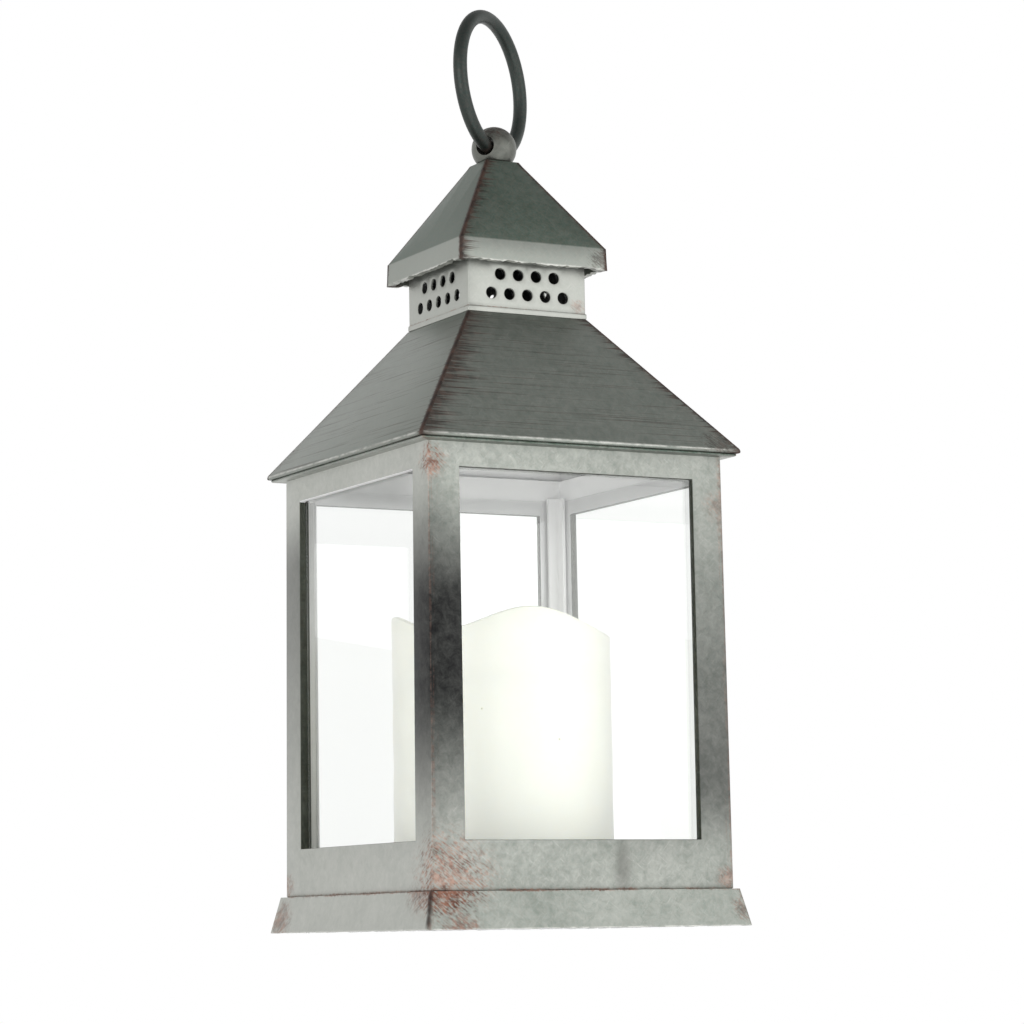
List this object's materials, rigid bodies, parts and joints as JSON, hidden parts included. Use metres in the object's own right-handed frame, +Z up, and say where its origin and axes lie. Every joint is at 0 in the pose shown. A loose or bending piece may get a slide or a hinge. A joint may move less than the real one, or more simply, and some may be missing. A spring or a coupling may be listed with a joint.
{
  "type": "candle lantern",
  "caption": "Square tabletop and hanging lantern with clear windows, a pyramid roof, a vented collar, a small cap, a swinging ring and a battery candle inside.",
  "frame": {"origin": "middle of the base, on the surface that the lantern stands on", "axes": "+Z up through the ball, -Y the front, +X to the right; all four sides are alike"},
  "size_m": [0.105, 0.105, 0.2775],
  "materials": {
    "aged_paint": "grey-green paint with copper-brown rub along the edges",
    "ring_paint": "dark grey-green satin paint with copper-brown rub",
    "dark_plastic": "moulded black, fine texture",
    "pale_plastic": "moulded off-white",
    "clear_pane": "clear and polished",
    "ivory_wax": "satin ivory wax",
    "amber_lamp": "tinted clear dome",
    "green_board": "solder mask",
    "lead_jacket": "soft insulation",
    "cell_jacket": "printed jacket on steel",
    "plated_steel": "zinc plated"
  },
  "bodies": {
    "lantern": {"base_tray": "aged_paint", "bottom_plate": "dark_plastic", "battery_cells": "cell_jacket", "contact_springs": "plated_steel", "contact_plates": "plated_steel", "switch_body": "plated_steel", "base_screws": "plated_steel", "body_frame": "aged_paint", "front_pane": "clear_pane", "rear_pane": "clear_pane", "left_pane": "clear_pane", "right_pane": "clear_pane", "candle_shell": "ivory_wax", "candle_disc": "ivory_wax", "lamp": "amber_lamp", "lamp_board": "green_board", "lamp_stalk": "pale_plastic", "lamp_leads": "lead_jacket", "main_roof": "aged_paint", "vent_collar": "aged_paint", "cap_roof": "aged_paint"},
    "finial": {"finial_ball": "ring_paint", "finial_washer": "plated_steel", "finial_screw": "plated_steel"},
    "ring": {"hanging_ring": "ring_paint"},
    "door": {"battery_door": "dark_plastic"},
    "slider": {"switch_slider": "dark_plastic"}
  },
  "joints": [
    {"name": "finial_swivel", "type": "hinge", "parent": "lantern", "child": "finial", "pos_m": [0, 0, 0.2345], "axis": [0, 0, 1], "continuous": true},
    {"name": "ring_swing", "type": "hinge", "parent": "finial", "child": "ring", "pos_m": [0, 0, 0.2345], "axis": [0.8049, 0.5934, 0], "range_deg": [-123.8, 128.2]},
    {"name": "door_hinge", "type": "hinge", "parent": "lantern", "child": "door", "pos_m": [-0.02475, -0.02185, 0.0017], "axis": [0, 1, 0], "range_deg": [0, 95]},
    {"name": "switch_slide", "type": "slide", "parent": "lantern", "child": "slider", "axis": [1, 0, 0], "range_m": [0, 0.003]}
  ]
}
